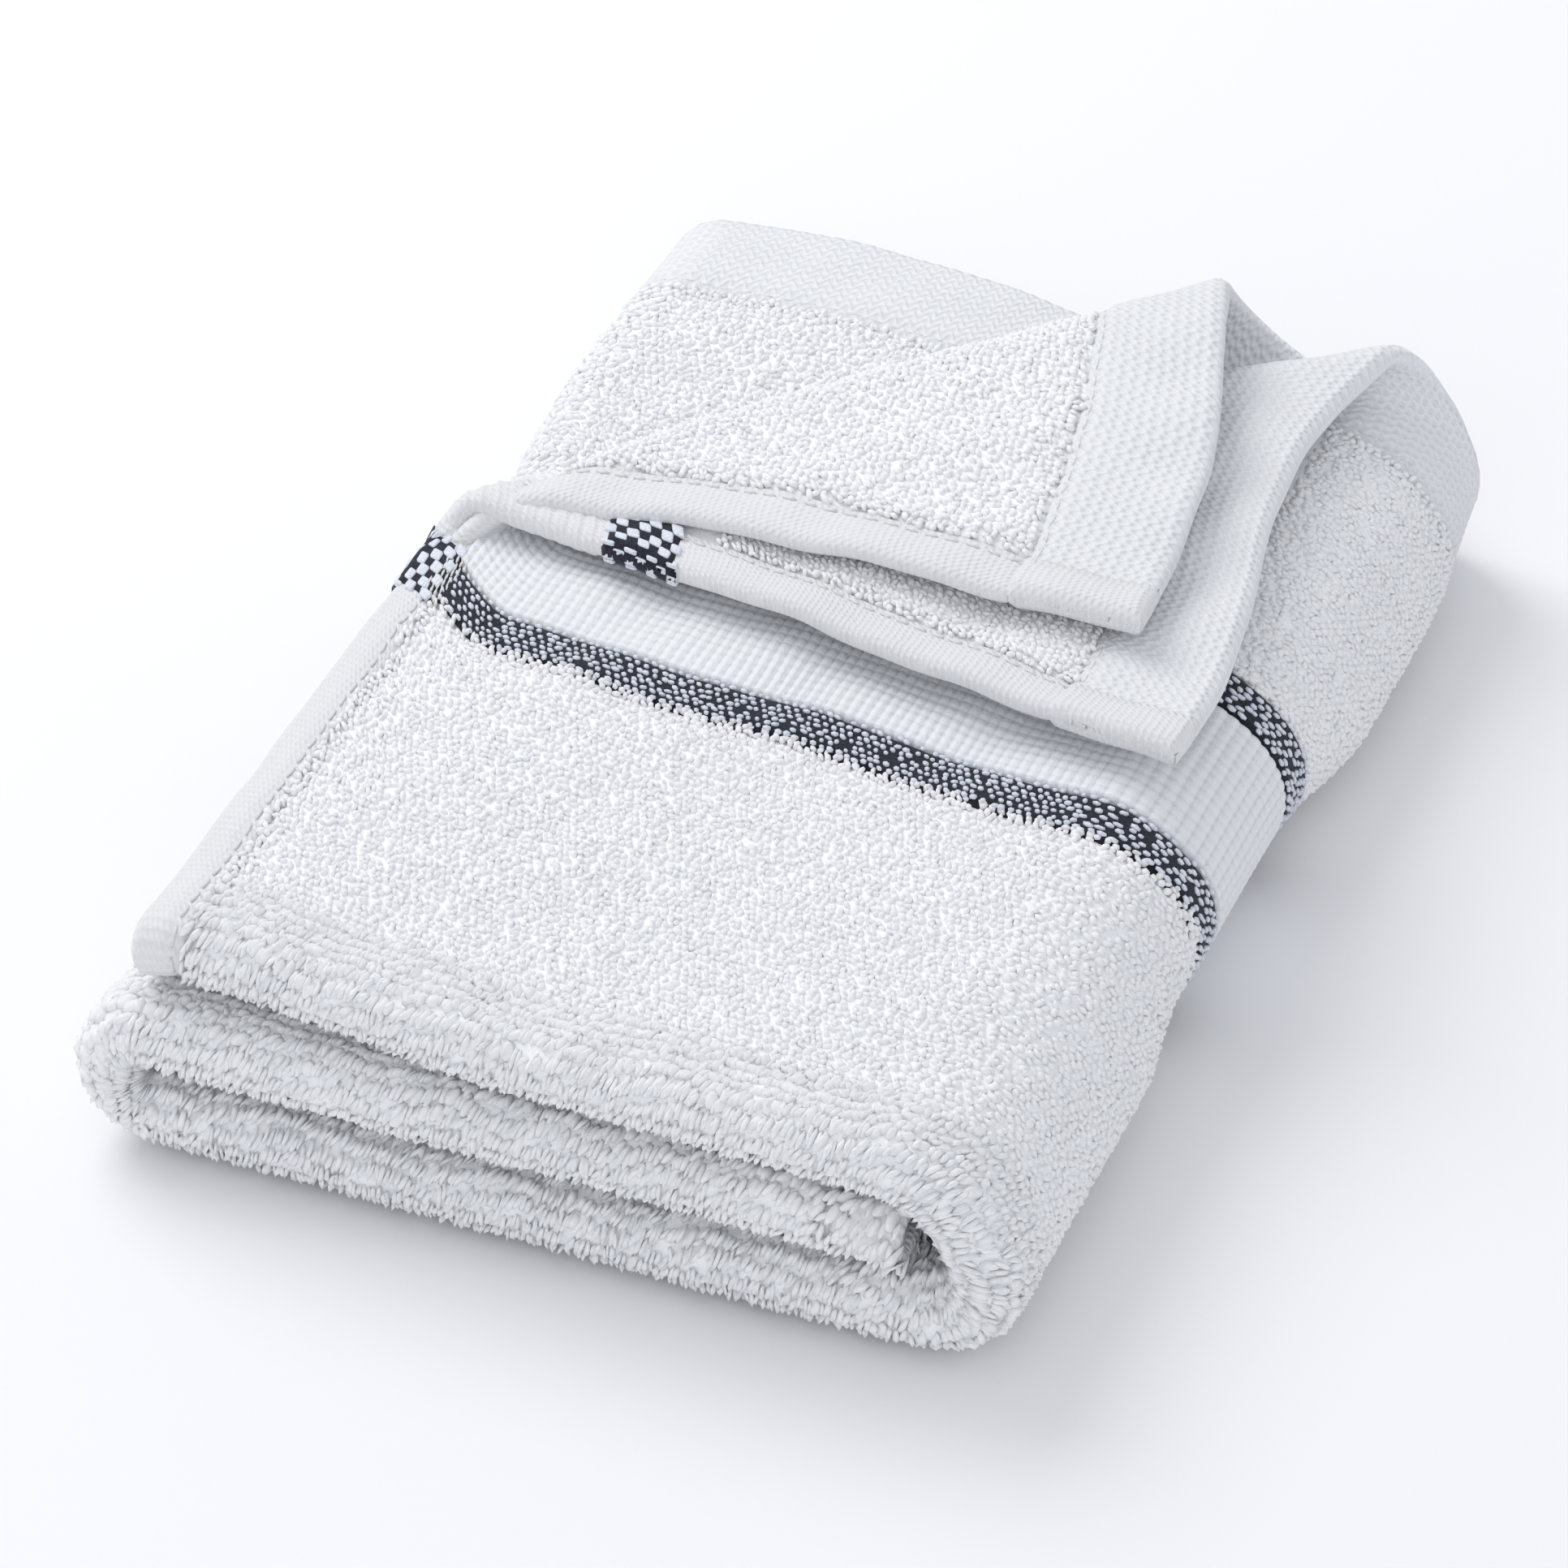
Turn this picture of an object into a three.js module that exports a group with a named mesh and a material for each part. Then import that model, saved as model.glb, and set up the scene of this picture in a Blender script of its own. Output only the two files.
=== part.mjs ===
// A terry towel with woven border stripes, folded in half and then in thirds,
// with the rear left corner of the top flap turned back. Millimetres, +Z up.
// +X runs across the folded width, from the hemmed side to the right fold.
// +Y runs from the front folds to the hemmed ends. The origin is the middle of the base.
//
// The cloth is one length of terry. Each solid here is a stretch of it between two folds,
// or between two weaves, so every stretch is one simple closed body.
import * as THREE from 'three';

// Driving dimensions
const foldedWidth = 134;
const foldedLength = 212;
const plyPitch = 6;
const gap = 0.3;
const sideHem = 8;
const endHem = 20;
const stripeWidth = 8;
const nearStripeStart = -29.5;
const farStripeStart = 7.5;
const topFlapInset = 9;
const innerFlapClearance = 3;
const turnedCornerShift = 12;
const creaseRise = 48;
const rollEndInset = 9;
const threadWidth = 0.8;
const threadHeight = 0.5;
const threadInset = 1.6;
const arcSteps = 14;

// Derived places
const left = -foldedWidth / 2;
const right = foldedWidth / 2;
const front = -foldedLength / 2;
const back = foldedLength / 2;
const ply = plyPitch - gap;
const half = gap / 2;
const leftFoldRadius = 2 * plyPitch;
const rightFoldRadius = 3 * plyPitch;
const leftFoldX = left + leftFoldRadius;
const rightFoldX = right - rightFoldRadius;
const frontFoldY = front + plyPitch;
const topLeft = left + topFlapInset;
const innerFlapEnd = rightFoldX - innerFlapClearance;
const endHemY = back - endHem;
const stackTop = 6 * plyPitch;

// Materials
const terry = new THREE.MeshStandardMaterial({ color: 0xf3f4f8, roughness: 0.95, metalness: 0 });
const flatWeave = new THREE.MeshStandardMaterial({ color: 0xf1f1f3, roughness: 0.85, metalness: 0 });
const ribWeave = new THREE.MeshStandardMaterial({ color: 0xeeeff4, roughness: 0.85, metalness: 0 });
const stripeWeave = new THREE.MeshStandardMaterial({ color: 0x5b6072, roughness: 0.85, metalness: 0 });
const thread = new THREE.MeshStandardMaterial({ color: 0xdedcd6, roughness: 0.7, metalness: 0 });

const towel = new THREE.Group();

function addNode(name, geometry, material) {
  const mesh = new THREE.Mesh(geometry, material);
  mesh.name = name;
  towel.add(mesh);
}

function extrude(points, depth) {
  const shape = new THREE.Shape(points.map(([a, b]) => new THREE.Vector2(a, b)));
  return new THREE.ExtrudeGeometry(shape, { depth, bevelEnabled: false, steps: 1 });
}

// A prism standing on z0, from an outline in X and Y.
function prismUp(outline, z0, z1) {
  return extrude(outline, z1 - z0).translate(0, 0, z0);
}

// A prism along Y, from an outline in X and Z.
function prismBack(outline, y0, y1) {
  return extrude(outline, y1 - y0).rotateX(Math.PI / 2).translate(0, y1, 0);
}

// A prism along any level direction, from an outline in (outward, Z).
function prismAlong(outline, start, direction, length) {
  const along = new THREE.Vector3(direction[0], direction[1], 0).normalize();
  const up = new THREE.Vector3(0, 0, 1);
  const outward = up.clone().cross(along);
  const basis = new THREE.Matrix4().makeBasis(outward, up, along);
  return extrude(outline, length).applyMatrix4(basis).translate(start[0], start[1], 0);
}

function rectangle(a0, b0, a1, b1) {
  return [[a0, b0], [a1, b0], [a1, b1], [a0, b1]];
}

// Half of a ring round (a, b), open towards -a when side is 1 and towards +a when side is -1.
function halfRing(a, b, inner, outer, side) {
  const rim = (radius, from, to) => Array.from({ length: arcSteps + 1 }, (_, step) => {
    const angle = THREE.MathUtils.degToRad(from + ((to - from) * step) / arcSteps);
    return [a + side * radius * Math.cos(angle), b + radius * Math.sin(angle)];
  });
  const outline = rim(outer, -90, 90);
  return inner > 0 ? outline.concat(rim(inner, 90, -90)) : outline;
}

// The height range of a ply, counted from the base.
function plyRange(index) {
  return [index * plyPitch + half, (index + 1) * plyPitch - half];
}

// Panels of plain rectangles: the two lower thirds.
function addLowerThirds() {
  const panels = [
    ['bottom_outer', 0, leftFoldX, rightFoldX],
    ['bottom_inner', 1, leftFoldX, rightFoldX],
    ['inner_flap_lower', 2, leftFoldX, innerFlapEnd - sideHem],
    ['inner_flap_upper', 3, leftFoldX, innerFlapEnd - sideHem],
  ];
  for (const [name, index, x0, x1] of panels) {
    const [z0, z1] = index === 0 ? [0, plyPitch - half] : plyRange(index);
    const panel = rectangle(x0 + half, frontFoldY + half, x1 - half, endHemY - half);
    const hem = rectangle(x0 + half, endHemY + half, x1 - half, back);
    addNode(`${name}_panel`, prismUp(panel, z0, z1), terry);
    addNode(`${name}_end_hem`, prismUp(hem, z0, z1), flatWeave);
  }
  for (const [name, index] of [['inner_flap_lower', 2], ['inner_flap_upper', 3]]) {
    const [z0, z1] = plyRange(index);
    const hem = rectangle(innerFlapEnd - sideHem + half, frontFoldY + half, innerFlapEnd, back);
    addNode(`${name}_side_hem`, prismUp(hem, z0, z1), flatWeave);
  }
}

// The side folds, as half rings along Y. The outer ply of the right fold changes weave.
function addSideFolds() {
  const sideFront = frontFoldY - plyPitch / 2;
  const leftOuter = halfRing(leftFoldX - half, leftFoldRadius, plyPitch + half, leftFoldRadius, -1);
  const leftInner = halfRing(leftFoldX - half, leftFoldRadius, 0, plyPitch - half, -1);
  addNode('left_fold_outer', prismBack(leftOuter, sideFront, back), terry);
  addNode('left_fold_inner', prismBack(leftInner, sideFront, back), terry);

  const centre = 3 * plyPitch;
  const rightInner = halfRing(rightFoldX + half, centre, plyPitch + half, 2 * plyPitch - half, 1);
  addNode('right_fold_inner', prismBack(rightInner, sideFront, back), terry);
  const rightOuter = halfRing(rightFoldX + half, centre, 2 * plyPitch + half, rightFoldRadius, 1);
  for (const [name, y0, y1, material] of outerZones(sideFront)) {
    addNode(`right_fold_${name}`, prismBack(rightOuter, y0 + half, y1 - half), material);
  }
}

// The weaves of the outer ply along Y, from the front fold to the end.
function outerZones(start) {
  return [
    ['main_terry', start, nearStripeStart, terry],
    ['near_stripe', nearStripeStart, nearStripeStart + stripeWidth, stripeWeave],
    ['rib_band', nearStripeStart + stripeWidth, farStripeStart, ribWeave],
    ['far_stripe', farStripeStart, farStripeStart + stripeWidth, stripeWeave],
    ['end_terry', farStripeStart + stripeWidth, endHemY, terry],
    ['end_hem', endHemY, back, flatWeave],
  ];
}

// The front folds, one to each third.
function addFrontFolds() {
  const folds = [
    ['bottom_front_fold', 1, leftFoldX, rightFoldX],
    ['inner_flap_front_fold', 3, leftFoldX, innerFlapEnd],
    ['top_front_fold', 5, topLeft, rightFoldX],
  ];
  for (const [name, level, x0, x1] of folds) {
    const outline = halfRing(0, level * plyPitch, 0, plyPitch - half, 1);
    const start = [x1 - half, frontFoldY - half];
    addNode(name, prismAlong(outline, start, [-1, 0], x1 - x0 - gap), terry);
  }
}

// The outline of a level strip from y0 to y1, from the crease on its left to the right fold.
function creasedStrip(y0, y1) {
  const leftEdge = topLeft + sideHem + half;
  const meets = (y) => Math.max(leftEdge, y - creaseRise + gap);
  const points = [[meets(y0), y0], [rightFoldX - half, y0]];
  const stop = Math.min(y1, rightFoldX - half + creaseRise - gap);
  points.push([rightFoldX - half, stop]);
  if (meets(stop) < rightFoldX - 2 * half) points.push([meets(stop), stop]);
  const corner = leftEdge + creaseRise - gap;
  if (y0 < corner && corner < stop) points.push([leftEdge, corner]);
  return points;
}

// The part of the top flap that still lies flat, to the right of the crease.
function addTopFlap() {
  const [outer0, outer1] = plyRange(5);
  for (const [name, y0, y1, material] of outerZones(frontFoldY)) {
    addNode(`top_${name}`, prismUp(creasedStrip(y0 + half, y1 - half), outer0, outer1), material);
  }
  const [inner0, inner1] = plyRange(4);
  addNode('top_inner_panel', prismUp(creasedStrip(frontFoldY + half, back), inner0, inner1), terry);
  const hem = [
    [topLeft, frontFoldY + half],
    [topLeft + sideHem - half, frontFoldY + half],
    [topLeft + sideHem - half, topLeft + sideHem + creaseRise - gap],
    [topLeft, topLeft + creaseRise - gap],
  ];
  addNode('top_outer_side_hem', prismUp(hem, outer0, outer1), flatWeave);
  addNode('top_inner_side_hem', prismUp(hem, inner0, inner1), flatWeave);
}

// One ply of the turned corner: a triangle whose hems meet at its tip.
function addTurnedPly(name, index, tipX, tipY) {
  const [z0, z1] = plyRange(index);
  const crease = (y) => y - creaseRise + gap;
  const hemTop = tipY + sideHem;
  const hemLeft = tipX - endHem;
  const panel = [
    [crease(hemTop + half), hemTop + half],
    [hemLeft - half, hemTop + half],
    [hemLeft - half, hemLeft - half + creaseRise - gap],
  ];
  const sideStrip = [
    [crease(tipY), tipY],
    [hemLeft - half, tipY],
    [hemLeft - half, hemTop - half],
    [crease(hemTop - half), hemTop - half],
  ];
  const endStrip = [
    [hemLeft + half, tipY],
    [tipX, tipY],
    [tipX, tipX + creaseRise - gap],
    [hemLeft + half, hemLeft + half + creaseRise - gap],
  ];
  addNode(`${name}_panel`, prismUp(panel, z0, z1), terry);
  addNode(`${name}_side_hem`, prismUp(sideStrip, z0, z1), flatWeave);
  addNode(`${name}_end_hem`, prismUp(endStrip, z0, z1), flatWeave);
}

// The turned corner: the inner ply rolls round the outer one and lies on top of it.
function addTurnedCorner() {
  const tipX = back - creaseRise;
  const tipY = topLeft + creaseRise;
  addTurnedPly('turned_outer', 6, tipX, tipY);
  addTurnedPly('turned_inner', 7, tipX - turnedCornerShift, tipY + turnedCornerShift);
  const start = [topLeft + rollEndInset, topLeft + rollEndInset + creaseRise];
  const length = (rightFoldX - topLeft - rollEndInset) * Math.SQRT2;
  const outward = -half;
  const outerRoll = halfRing(-outward, stackTop, 0, plyPitch - half, 1);
  const innerRoll = halfRing(-outward, stackTop, plyPitch + half, 2 * plyPitch - half, 1);
  addNode('turned_outer_roll', prismAlong(outerRoll, start, [1, 1], length), terry);
  addNode('turned_inner_roll', prismAlong(innerRoll, start, [1, 1], length), terry);
}

// The sewing threads that hold the hems, each a line on the face that shows.
function addThreads() {
  const lay = (name, outline, z) => addNode(name, prismUp(outline, z, z + threadHeight), thread);
  const onFlap = stackTop + half;
  const onTurned = 8 * plyPitch + half;
  const tipX = back - creaseRise - turnedCornerShift;
  const tipY = topLeft + creaseRise + turnedCornerShift;
  const sideX = topLeft + sideHem - threadInset;
  lay('top_side_hem_thread', rectangle(sideX, frontFoldY, sideX + threadWidth, topLeft + creaseRise - sideHem), onFlap);
  const turnedY = tipY + sideHem - threadInset;
  lay('turned_side_hem_thread', rectangle(turnedY - creaseRise + sideHem, turnedY, tipX - endHem, turnedY + threadWidth), onTurned);
  const turnedX = tipX - endHem + threadInset;
  lay('turned_end_hem_thread', rectangle(turnedX, tipY, turnedX + threadWidth, tipX), onTurned);
}

addLowerThirds();
addSideFolds();
addFrontFolds();
addTopFlap();
addTurnedCorner();
addThreads();

export default towel;
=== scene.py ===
"""A white terry towel with checked stripes, folded in half and in thirds, one corner turned back.

Every piece is first made flat, at its place on the open towel, and then folded by one function:
u runs across the towel from the inner flap's hem, v runs along it from the outer end, and
h is the height above the middle of the cloth, positive on the face that is outside once the
towel is folded in half.
"""
import math

import bpy
import numpy as np
from mathutils import Matrix, Vector


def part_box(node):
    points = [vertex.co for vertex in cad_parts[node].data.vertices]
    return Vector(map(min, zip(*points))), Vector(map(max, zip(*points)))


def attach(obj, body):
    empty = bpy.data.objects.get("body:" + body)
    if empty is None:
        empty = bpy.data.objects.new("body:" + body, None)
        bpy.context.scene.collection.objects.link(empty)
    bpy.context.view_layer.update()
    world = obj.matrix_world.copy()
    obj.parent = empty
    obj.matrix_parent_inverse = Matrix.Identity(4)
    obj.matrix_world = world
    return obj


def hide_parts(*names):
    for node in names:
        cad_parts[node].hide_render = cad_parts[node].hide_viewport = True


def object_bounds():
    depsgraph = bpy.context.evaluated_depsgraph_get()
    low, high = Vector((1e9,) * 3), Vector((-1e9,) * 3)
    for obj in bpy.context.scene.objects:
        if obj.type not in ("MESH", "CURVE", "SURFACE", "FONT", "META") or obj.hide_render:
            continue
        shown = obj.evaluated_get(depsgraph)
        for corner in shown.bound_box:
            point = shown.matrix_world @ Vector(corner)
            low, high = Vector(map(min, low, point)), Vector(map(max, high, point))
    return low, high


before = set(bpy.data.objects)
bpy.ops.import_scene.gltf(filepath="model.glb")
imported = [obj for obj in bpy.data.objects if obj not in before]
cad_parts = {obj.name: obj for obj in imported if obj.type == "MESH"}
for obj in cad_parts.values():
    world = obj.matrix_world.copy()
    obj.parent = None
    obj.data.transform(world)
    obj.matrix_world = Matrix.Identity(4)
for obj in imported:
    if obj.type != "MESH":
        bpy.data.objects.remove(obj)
cad_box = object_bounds()

# ---------------------------------------------------------------- places, from the frame

FLOOR = cad_box[0].z
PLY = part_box("left_fold_outer")[1].z / 4
LEFT_FOLD_X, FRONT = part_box("bottom_front_fold")[0].xy
RIGHT_FOLD_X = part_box("bottom_front_fold")[1].x
INNER_FLAP_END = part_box("inner_flap_upper_side_hem")[1].x
TOP_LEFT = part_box("top_front_fold")[0].x
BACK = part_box("right_fold_end_hem")[1].y
END_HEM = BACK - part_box("right_fold_end_hem")[0].y
SIDE_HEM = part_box("top_outer_side_hem")[1].x - TOP_LEFT
FAR_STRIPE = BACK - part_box("right_fold_far_stripe")[1].y
NEAR_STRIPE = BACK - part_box("right_fold_near_stripe")[1].y
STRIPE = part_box("right_fold_near_stripe")[1].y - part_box("right_fold_near_stripe")[0].y

# ---------------------------------------------------------------- sizes of the cloth, in metres

# Half thicknesses, and the way round each fold
GROUND_HALF = 0.0014
THIN_HALF = 0.0007  # of the ground where a hem or a band lies over it
HEM_HALF = 0.0017
BAND_HALF = 0.0019
TUFT_REACH = 0.0027  # from the middle of the cloth to the tops of its loops
LEFT_RADIUS = PLY
RIGHT_RADIUS = 2 * PLY
FRONT_RADIUS = PLY / 2
FRONT_CENTRE = FRONT + FRONT_RADIUS + TUFT_REACH
INNER_EXTRA = 0.026  # how much deeper the bands of the inner end lie

# Hems and bands
RIM_ROUNDING = 0.0016
RIM_OVERHANG = 0.0004
HEM_RIB = 0.00105
HEM_RIB_BEND = 900
STITCH_INSET = 0.0016
GROOVE_WIDTH = 0.0006
GROOVE_DEPTH = 0.0006
SEAM_WIDTH = 0.0005
BAND_CORD = 0.00155
BAND_FLOAT = 0.0019

# Terry loops
LOOP_PITCH = 0.00102
HIDDEN_LOOP_PITCH = 0.0016  # on the underside
LOOP_HEIGHT = 0.00060
COMBED_PITCH_U, COMBED_PITCH_V = 0.00074, 0.00185
COMBED_WIDTH, COMBED_LENGTH, COMBED_HEIGHT = 0.00034, 0.00105, 0.00090
MOUTH_HEIGHT = 0.0019  # loops where the front fold opens between the plies

# Yarns of the stripes, and stitches
STRIPE_ROWS = 7
FLOAT_PITCH = 0.00132
FLOAT_LENGTH, FLOAT_WIDTH, FLOAT_HEIGHT = 0.00051, 0.00040, 0.00038
CHECK_U, CHECK_V = 0.00150, 0.00172
STITCH_PITCH = 0.0030
STITCH_LONG, STITCH_THIN = 0.00125, 0.00022

# Lengths along the spiral that a section across the folds makes
FLAP_RUN = INNER_FLAP_END - LEFT_FOLD_X
LEFT_RUN = math.pi * LEFT_RADIUS
BOTTOM_RUN = RIGHT_FOLD_X - LEFT_FOLD_X
RIGHT_RUN = math.pi * RIGHT_RADIUS
TOP_RUN = RIGHT_FOLD_X - TOP_LEFT
U_LEFT = FLAP_RUN
U_BOTTOM = U_LEFT + LEFT_RUN
U_RIGHT = U_BOTTOM + BOTTOM_RUN
U_TOP = U_RIGHT + RIGHT_RUN
WIDTH = U_TOP + TOP_RUN
SIDE_RUN = BACK - FRONT_CENTRE
FRONT_RUN = math.pi * FRONT_RADIUS
LENGTH = 2 * SIDE_RUN + FRONT_RUN
COMBED = FRONT_RUN / 2 + 0.007  # how far the longer loops reach from the middle of the front fold

# How far the plies have slid or spread from a neat stack
LOWER_BACK_SLIDE = 0.0080
LOWER_LEFT_SPREAD = 0.0065
INNER_FLAP_SPREAD = 0.0055
RIGHT_FOLD_BACK_SPREAD = 0.0065
RIGHT_FOLD_FRONT_SPREAD = 0.0040
RIGHT_END_PULL = 0.0085
TOP_LEFT_SLIDE = 0.0060
TOP_EDGE_SLIDE = 0.0125
TOP_EDGE_SLACK = 0.0080
TOP_INNER_SLIDE = 0.003
TOP_RIGHT_PULL = 0.0035
TOP_FRONT_SET_BACK = 0.0040
TOP_LEFT_SHIFT = 0.0035
TOP_EDGE_SAG = 0.0012
SWELL = 0.0007
DIMPLE = 0.00022
SWAY = 0.0010

# The turned corner of each ply: where the crease meets the hem (y) and the end (x), the radius
# of its roll at both, how far its roll is pushed out, where its tip lies before it is turned,
# and where the tip lands.
TURNED = {
    "outer": dict(
        hem_y=0.0050, end_x=0.074, radii=(0.0037, 0.0045), push=0.0,
        flat_tip=(-0.0615, 0.1245), tip=(0.0590, -0.0215, 0.0410),
    ),
    "inner": dict(
        hem_y=0.0040, end_x=0.040, radii=(0.0078, 0.0125), push=0.004,
        flat_tip=(-0.0615, 0.1090), tip=(0.0470, -0.0025, 0.0470),
    ),
}

rng = np.random.default_rng(7)


# ---------------------------------------------------------------- folding

def across(u):
    """Middle of the two plies in X and Z, with its outward direction, along the spiral."""
    left = (u - U_LEFT) / LEFT_RADIUS + math.pi / 2
    right = (u - U_RIGHT) / RIGHT_RADIUS - math.pi / 2
    zones = [u < U_LEFT, u < U_BOTTOM, u < U_RIGHT, u < U_TOP]
    x = np.select(zones, [
        INNER_FLAP_END - u,
        LEFT_FOLD_X + LEFT_RADIUS * np.cos(left),
        LEFT_FOLD_X + u - U_BOTTOM,
        RIGHT_FOLD_X + RIGHT_RADIUS * np.cos(right),
    ], RIGHT_FOLD_X - (u - U_TOP))
    z = np.select(zones, [
        np.full_like(u, 3 * PLY),
        2 * PLY + LEFT_RADIUS * np.sin(left),
        np.full_like(u, PLY),
        3 * PLY + RIGHT_RADIUS * np.sin(right),
    ], 5 * PLY)
    one, zero = np.ones_like(u), np.zeros_like(u)
    out_x = np.select(zones, [zero, np.cos(left), zero, np.cos(right)], 0.0)
    out_z = np.select(zones, [one, np.sin(left), -one, np.sin(right)], 1.0)
    return x, z, out_x, out_z


def along(v):
    """Y, and the offset from the middle of the two plies, on the way round the front fold."""
    turn = np.clip((v - SIDE_RUN) / FRONT_RADIUS, 0, math.pi)
    y = np.where(v < SIDE_RUN, BACK - v, FRONT_CENTRE + (v - SIDE_RUN - FRONT_RUN))
    y = np.where((v >= SIDE_RUN) & (turn < math.pi), FRONT_CENTRE - FRONT_RADIUS * np.sin(turn), y)
    return y, FRONT_RADIUS * np.cos(turn)


def smooth(t):
    """A smooth step from 0 to 1 while t goes from 0 to 1."""
    t = np.clip(t, 0, 1)
    return t * t * (3 - 2 * t)


def rise(value, start, run):
    """A smooth step from 0 to 1 while the value grows from start to start + run."""
    return smooth((value - start) / run)


def fall(value, start, run):
    """A smooth step from 0 to 1 while the value shrinks from start to start - run."""
    return smooth((start - value) / run)


def bell(value, centre, width):
    return np.exp(-((value - centre) / width) ** 2)


def flat_x(u):
    """X on the top flap before its corner is turned."""
    return RIGHT_FOLD_X - (u - U_TOP)


def turned_shift(x, y, corner):
    """How far a point of the flat top flap moves when the corner of its ply is turned back.

    Short of the crease it stays, then it goes round a roll, and beyond that it is mirrored in
    the crease. The share, 0 at the roll and 1 at the tip, draws the mirrored part to its place.
    """
    hem = np.array([TOP_LEFT, corner["hem_y"]])
    end = np.array([corner["end_x"], BACK])
    crease = (end - hem) / np.linalg.norm(end - hem)
    out = np.array([-crease[1], crease[0]])
    place = np.stack([x, y], -1) - hem
    beyond = place @ out
    way = np.clip(place @ crease / np.linalg.norm(end - hem), -0.1, 1.2)
    radius = corner["radii"][0] + (corner["radii"][1] - corner["radii"][0]) * way
    half = math.pi * radius / 2
    angle = np.clip((beyond + half) / radius, 0, math.pi)
    in_roll = -half + radius * np.sin(angle) - beyond
    shift_out = np.where(beyond > half, -2 * beyond, np.where(beyond > -half, in_roll, 0.0))
    lift = radius * (1 - np.cos(angle))
    tip_flat = np.array(corner["flat_tip"]) - hem
    tip_beyond = tip_flat @ out
    mirrored = hem + tip_flat - 2 * tip_beyond * out
    share = np.clip((beyond - half) / (tip_beyond - half), 0, 1)
    bump = corner["push"] * smooth((beyond + half) / (1.5 * half)) * (1 - smooth(share / 0.7))
    bump = bump * smooth(way / 0.3)
    shift = (shift_out + bump)[:, None] * out + share[:, None] * (np.array(corner["tip"][:2]) - mirrored)
    return shift, lift, smooth(share)


def top_drift(x, y, outer):
    """How the top flap has slid and sagged by the time its corner is turned back."""
    back = rise(y, -0.100, 0.075)
    left = fall(x, -0.005, 0.050)
    reach = rise(y, 0.0, 0.080)
    edge = fall(x, -0.038 + 0.050 * reach, 0.022 + 0.055 * reach)
    slack = TOP_EDGE_SLACK * fall(x, -0.038, 0.015) * bell(y, 0.014, 0.030)
    right = rise(x, 0.005, 0.035)
    outer_slide = TOP_LEFT_SLIDE * left + TOP_EDGE_SLIDE * edge + slack
    dy = outer * outer_slide + (1 - outer) * TOP_INNER_SLIDE * left
    dy = dy * back - TOP_RIGHT_PULL * right * rise(y, -0.105, 0.05)
    dy = dy + TOP_FRONT_SET_BACK * (1 - back) * fall(x, 0.005, 0.060)
    dx = -TOP_LEFT_SHIFT * left * back
    dz = -TOP_EDGE_SAG * fall(x, TOP_LEFT + 0.010, 0.010) ** 2
    return np.stack([dx, dy, dz], -1)


def spread_lower_plies(point, u, x, y, z, top):
    """Slides and spreads the plies below the top flap, most at the corners."""
    point[:, 1] += LOWER_BACK_SLIDE * (1 - top) * rise(y, 0.055, 0.050) * fall(x, 0.020, 0.060)
    point[:, 0] -= LOWER_LEFT_SPREAD * (1 - top) * rise(y, 0.010, 0.070) * fall(x, -0.010, 0.045)
    point[:, 0] += INNER_FLAP_SPREAD * (1 - rise(u, 0.0, 0.020)) * (1 - rise(y, -0.100, 0.040))
    low_right = rise(x, 0.040, 0.020) * fall(z, 0.024, 0.018)
    spread = RIGHT_FOLD_BACK_SPREAD * rise(y, 0.005, 0.035) * (1 - 0.75 * rise(y, 0.070, 0.045))
    spread += RIGHT_FOLD_FRONT_SPREAD * fall(y, -0.035, 0.020)
    point[:, 0] += low_right * spread


def turn_corner(point, u, v, x, ply):
    """Turns the corner of one ply back, and brings its tip to its place."""
    corner = TURNED[ply]
    mine = (u > U_TOP - 0.03) & ((v < LENGTH / 2) == (ply == "outer"))
    if not mine.any():
        return
    part = point[mine]
    shift, lift, share = turned_shift(x[mine], part[:, 1], corner)
    height = part[:, 2] + lift
    climb = lift + share * (corner["tip"][2] - height)
    point[mine] = part + np.stack([shift[:, 0], shift[:, 1], climb], -1)


def middle(u, v):
    """The middle of the folded cloth at a place on the flat towel."""
    x, z, out_x, out_z = across(u)
    y, offset = along(v)
    point = np.stack([x + offset * out_x, y, z + offset * out_z], -1)
    top = smooth((u - U_RIGHT - RIGHT_RUN * 0.35) / (RIGHT_RUN * 0.5))
    spread_lower_plies(point, u, x, y, z, top)
    outer = 1 - smooth((v - SIDE_RUN) / FRONT_RUN)
    drift = top_drift(flat_x(u), y, outer) * top[:, None]
    pulled = smooth((u - U_RIGHT + 0.010) / 0.030) * rise(flat_x(u), -0.025, 0.050)
    drift[:, 1] -= RIGHT_END_PULL * pulled * rise(y, 0.010, 0.085)
    point += drift
    for ply in TURNED:
        turn_corner(point, u, v, flat_x(u) + drift[:, 0], ply)
    return settle(point)


def settle(point):
    """Soft sag and swell of the whole stack, larger the higher up."""
    x, y, z = point[:, 0], point[:, 1], point[:, 2]
    high = z / (6 * PLY)
    swell = np.sin(x * 41 + 0.6) * np.sin(y * 27 + 1.1) + 0.6 * np.sin(x * 73 - y * 38 + 2.0)
    dimple = np.sin(x * 330 + y * 110) * np.sin(y * 290 - x * 90 + 1.0) + np.sin(x * 190 - y * 250)
    point[:, 2] = z + (SWELL * swell + DIMPLE * dimple) * high
    point[:, 1] = y + SWAY * np.sin(x * 36 + 3 * high) * high
    return point


def fold(u, v, h):
    """The folded place of points given on the flat towel."""
    step = 0.0002
    run_u = middle(u + step, v) - middle(u - step, v)
    run_v = middle(u, v + step) - middle(u, v - step)
    normal = np.cross(run_u, run_v)
    normal /= np.maximum(np.linalg.norm(normal, axis=1, keepdims=True), 1e-12)
    return middle(u, v) + normal * h[:, None]


# ---------------------------------------------------------------- flat pieces

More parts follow.
